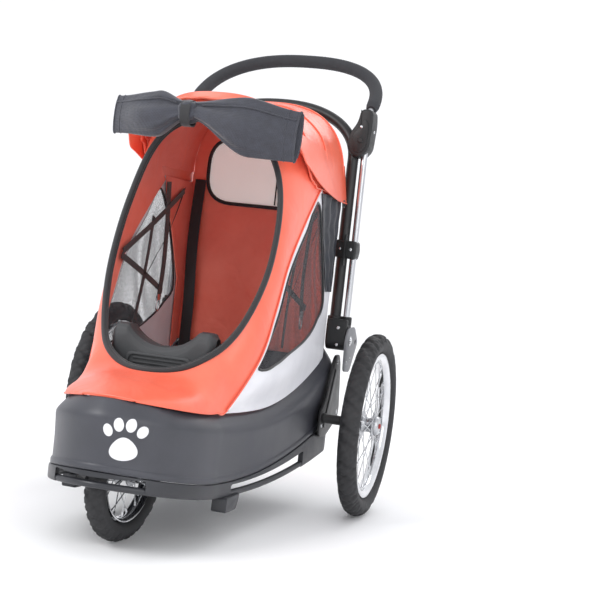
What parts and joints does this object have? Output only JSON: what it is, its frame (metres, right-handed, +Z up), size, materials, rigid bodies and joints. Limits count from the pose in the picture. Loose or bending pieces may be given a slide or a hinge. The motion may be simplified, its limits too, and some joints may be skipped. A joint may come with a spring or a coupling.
{
  "type": "pet stroller",
  "caption": "Three-wheeled pet stroller with a moulded tub, fabric cabin, folding push-handle frame, spoked rear wheels and a front caster wheel.",
  "frame": {"origin": "on the ground, under the middle of the bounding box", "axes": "+Z up, front of the stroller towards -Y, so +X is the right side as seen from the front"},
  "size_m": [0.673, 1.0349, 1.042],
  "materials": {
    "tub_plastic": "satin",
    "bumper_plastic": "matte",
    "coated_fabric": "coated, slight sheen",
    "mesh_fabric": "open mesh",
    "white_fabric": "coated",
    "black_webbing": "woven",
    "cushion_fabric": "plush",
    "chin_plastic": "satin",
    "frame_paint": "satin",
    "silver_tube": "satin",
    "grey_plate": "matte",
    "black_plastic": "satin",
    "foam": "foam",
    "tyre_rubber": "matte",
    "rim_alloy": "polished",
    "hub_alloy": "satin",
    "button_red": "gloss"
  },
  "bodies": {
    "tub": {"tub_shell": "tub_plastic", "bumper_ring": "bumper_plastic", "foot_left": "bumper_plastic", "foot_right": "bumper_plastic", "floor_cushion": "cushion_fabric", "chin_rest": "chin_plastic", "cabin_front": "coated_fabric", "canopy": "coated_fabric", "back_panel": "white_fabric", "side_panel_left": "white_fabric", "side_panel_right": "white_fabric", "side_window_left": "mesh_fabric", "side_window_right": "mesh_fabric", "opening_binding": "black_webbing", "door_roll": "mesh_fabric", "roll_tie": "black_webbing", "tether_strap_left": "black_webbing", "tether_strap_right": "black_webbing", "tether_hook_left": "hub_alloy", "tether_hook_right": "hub_alloy", "axle_plate_left": "frame_paint", "axle_plate_right": "frame_paint", "fold_plate_left": "grey_plate", "fold_plate_right": "grey_plate", "axle_stub_left": "frame_paint", "axle_stub_right": "frame_paint", "rear_cross_tube": "frame_paint"},
    "frame": {"upright_arch": "frame_paint", "handle_tube": "silver_tube", "handle_grip": "foam", "housing_left": "black_plastic", "housing_right": "black_plastic", "mid_clip_left": "black_plastic", "mid_clip_right": "black_plastic", "lower_bracket_left": "black_plastic", "lower_bracket_right": "black_plastic"},
    "rear_wheel_left": {"rear_tyre_left": "tyre_rubber", "rear_rim_left": "rim_alloy", "rear_hub_left": "hub_alloy"},
    "rear_wheel_right": {"rear_tyre_right": "tyre_rubber", "rear_rim_right": "rim_alloy", "rear_hub_right": "hub_alloy"},
    "release_left": {"release_button_left": "button_red"},
    "release_right": {"release_button_right": "button_red"},
    "caster": {"front_fork": "black_plastic"},
    "front_wheel": {"front_tyre": "tyre_rubber", "front_rim": "rim_alloy", "front_hub": "hub_alloy"},
    "brake": {"brake_pedal": "black_plastic"}
  },
  "joints": [
    {"name": "frame_fold", "type": "hinge", "parent": "tub", "child": "frame", "pos_m": [0, 0.2915, 0.372], "axis": [1, 0, 0], "range_deg": [0, 82], "deforming": ["cabin_front", "canopy", "back_panel", "side_panel_left", "side_panel_right", "side_window_left", "side_window_right", "opening_binding", "door_roll", "roll_tie", "tether_strap_left", "tether_strap_right", "tether_hook_left", "tether_hook_right"]},
    {"name": "rear_left_spin", "type": "hinge", "parent": "tub", "child": "rear_wheel_left", "pos_m": [-0.308, 0.2195, 0.2], "axis": [1, 0, 0], "continuous": true},
    {"name": "rear_right_spin", "type": "hinge", "parent": "tub", "child": "rear_wheel_right", "pos_m": [0.308, 0.2195, 0.2], "axis": [1, 0, 0], "continuous": true},
    {"name": "release_left_press", "type": "slide", "parent": "rear_wheel_left", "child": "release_left", "axis": [1, 0, 0], "range_m": [0, 0.003], "stiffness_N_per_m": 200},
    {"name": "release_right_press", "type": "slide", "parent": "rear_wheel_right", "child": "release_right", "axis": [-1, 0, 0], "range_m": [0, 0.003], "stiffness_N_per_m": 200},
    {"name": "front_swivel", "type": "hinge", "parent": "tub", "child": "caster", "pos_m": [0, -0.3486, 0.12], "axis": [0, 0, 1], "range_deg": [-5, 18]},
    {"name": "front_spin", "type": "hinge", "parent": "caster", "child": "front_wheel", "pos_m": [-0.00181, -0.3645, 0.12], "axis": [0.9936, -0.1132, 0], "continuous": true},
    {"name": "brake_press", "type": "hinge", "parent": "tub", "child": "brake", "pos_m": [0, 0.3375, 0.205], "axis": [-1, 0, 0], "range_deg": [0, 20]}
  ]
}
